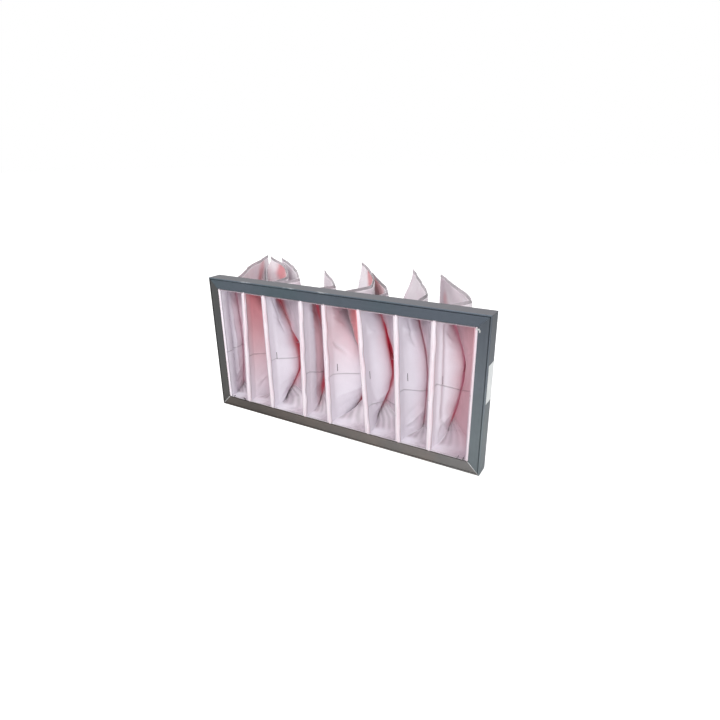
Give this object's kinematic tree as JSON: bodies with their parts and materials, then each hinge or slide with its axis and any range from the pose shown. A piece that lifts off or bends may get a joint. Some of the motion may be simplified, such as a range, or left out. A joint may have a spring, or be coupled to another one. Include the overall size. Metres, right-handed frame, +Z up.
{
  "type": "bag air filter",
  "caption": "Bag air filter with a mitred galvanised steel header frame and collapsed pink fabric pockets that lean to one side behind it.",
  "frame": {"origin": "middle of the header's underside, at the middle of its depth and width", "axes": "+X along the header to the right of someone who looks into the mouths, +Y from the mouths to the pocket tails, +Z up"},
  "size_m": [0.7247, 0.3458, 0.2874],
  "materials": {
    "galvanised": "dull rolled galvanised sheet",
    "bare_steel": "plain galvanised strip",
    "rivet_alloy": "satin",
    "filter_fabric": "soft needled fibre, matte, pink",
    "spacer_tape": "matte woven tape"
  },
  "bodies": {
    "root": {"rail_bottom": "galvanised", "rail_top": "galvanised", "rail_left": "galvanised", "rail_right": "galvanised", "corner_plate_bottom_left": "bare_steel", "rivet_bottom_left_level": "rivet_alloy", "rivet_bottom_left_upright": "rivet_alloy", "corner_plate_bottom_right": "bare_steel", "rivet_bottom_right_level": "rivet_alloy", "rivet_bottom_right_upright": "rivet_alloy", "corner_plate_top_left": "bare_steel", "rivet_top_left_level": "rivet_alloy", "rivet_top_left_upright": "rivet_alloy", "corner_plate_top_right": "bare_steel", "rivet_top_right_level": "rivet_alloy", "rivet_top_right_upright": "rivet_alloy", "divider_bar_1": "bare_steel", "divider_bar_2": "bare_steel", "divider_bar_3": "bare_steel", "divider_bar_4": "bare_steel", "divider_bar_5": "bare_steel", "divider_bar_6": "bare_steel", "divider_bar_7": "bare_steel", "end_bar_left": "bare_steel", "end_bar_right": "bare_steel", "hem_clamp_bottom": "bare_steel", "hem_clamp_top": "bare_steel", "pocket_1": "filter_fabric", "pocket_2": "filter_fabric", "pocket_3": "filter_fabric", "pocket_4": "filter_fabric", "pocket_5": "filter_fabric", "pocket_6": "filter_fabric", "pocket_7": "filter_fabric", "pocket_8": "filter_fabric", "spacer_tape_1": "spacer_tape", "spacer_tape_2": "spacer_tape", "spacer_tape_3": "spacer_tape", "spacer_tape_4": "spacer_tape", "spacer_tape_5": "spacer_tape", "spacer_tape_6": "spacer_tape", "spacer_tape_7": "spacer_tape", "spacer_tape_8": "spacer_tape"}
  },
  "joints": []
}
